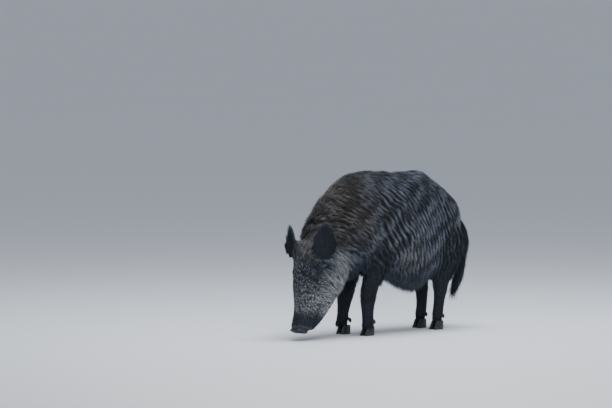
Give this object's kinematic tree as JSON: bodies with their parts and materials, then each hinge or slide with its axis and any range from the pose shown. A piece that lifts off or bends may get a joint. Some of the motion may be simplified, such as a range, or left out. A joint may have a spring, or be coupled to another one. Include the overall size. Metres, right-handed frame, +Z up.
{
  "type": "wild boar",
  "caption": "Life-size still model of a standing wild boar with its head lowered and its snout just over the ground, in a coarse dark coat.",
  "frame": {"origin": "on the floor, under the middle of the whole animal's box", "axes": "+Z up, the animal faces -Y, its left side is +X"},
  "size_m": [0.3726, 1.2486, 0.8117],
  "materials": {
    "coat": "coarse wet-looking bristles, near black with grizzled cheeks",
    "skin": "dark moist skin, bare on the snout",
    "hooves": "dark horn, worn and lightly ridged",
    "eyes": "dark brown, wet and glossy"
  },
  "bodies": {
    "root": {"dewclaw_front_leg_left_inner": "hooves", "dewclaw_front_leg_left_outer": "hooves", "dewclaw_front_leg_right_inner": "hooves", "dewclaw_front_leg_right_outer": "hooves", "dewclaw_hind_leg_left_inner": "hooves", "dewclaw_hind_leg_left_outer": "hooves", "dewclaw_hind_leg_right_inner": "hooves", "dewclaw_hind_leg_right_outer": "hooves", "ear_left": "coat", "ear_right": "coat", "eye_left": "eyes", "eye_right": "eyes", "front_leg_left_lower": "coat", "front_leg_left_upper": "coat", "front_leg_right_lower": "coat", "front_leg_right_upper": "coat", "head": "coat", "hind_leg_left_lower": "coat", "hind_leg_left_upper": "coat", "hind_leg_right_lower": "coat", "hind_leg_right_upper": "coat", "hoof_front_leg_left_inner": "hooves", "hoof_front_leg_left_outer": "hooves", "hoof_front_leg_right_inner": "hooves", "hoof_front_leg_right_outer": "hooves", "hoof_hind_leg_left_inner": "hooves", "hoof_hind_leg_left_outer": "hooves", "hoof_hind_leg_right_inner": "hooves", "hoof_hind_leg_right_outer": "hooves", "lower_jaw": "coat", "neck": "coat", "rump": "coat", "snout": "skin", "tail": "coat", "tail_tuft": "coat", "trunk": "coat"}
  },
  "joints": []
}
